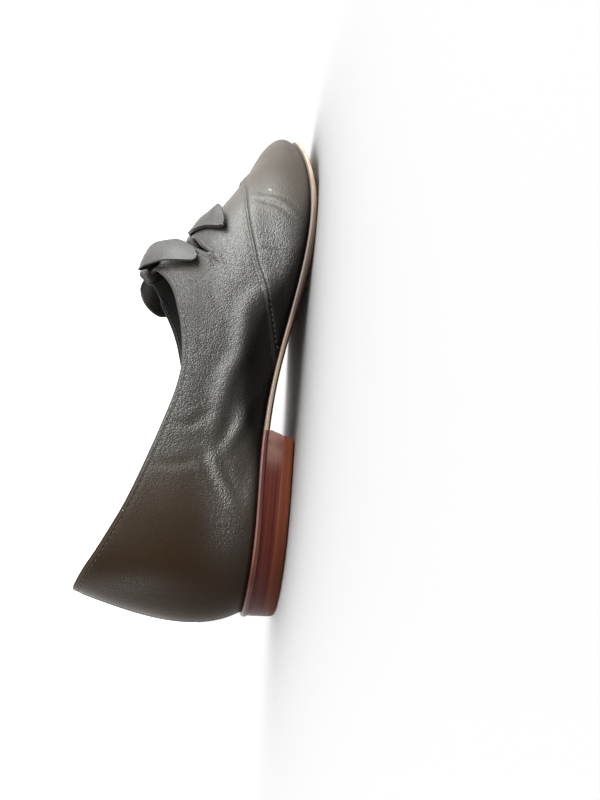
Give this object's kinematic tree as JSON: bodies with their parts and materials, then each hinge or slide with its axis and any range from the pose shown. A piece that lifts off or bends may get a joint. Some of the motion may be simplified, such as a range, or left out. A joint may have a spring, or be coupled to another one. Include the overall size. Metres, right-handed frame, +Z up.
{
  "type": "ballet flat shoe",
  "caption": "Black leather flat for the right foot with a rounded toe, bows tied over an open instep, a leather sole and a low stacked heel.",
  "frame": {"origin": "middle of the shoe's box, on the floor it stands on", "axes": "+X from the heel to the toe, +Y to the inner side of the foot, +Z up"},
  "size_m": [0.266, 0.0834, 0.0812],
  "materials": {
    "black_leather": "black full-grain leather with a worn satin shine",
    "lining_leather": "black lining leather, matt",
    "sole_leather": "tan sole leather, rubbed, dark burnished waist",
    "heel_leather": "stacked leather stained mahogany, waxed",
    "lift_leather": "tan leather lift, waxed edge"
  },
  "bodies": {
    "root": {"upper": "black_leather", "front_bow": "black_leather", "front_knot": "black_leather", "rear_bow": "black_leather", "rear_knot": "black_leather", "insole": "lining_leather", "outsole": "sole_leather", "heel_stack": "heel_leather", "heel_lift": "lift_leather"}
  },
  "joints": []
}
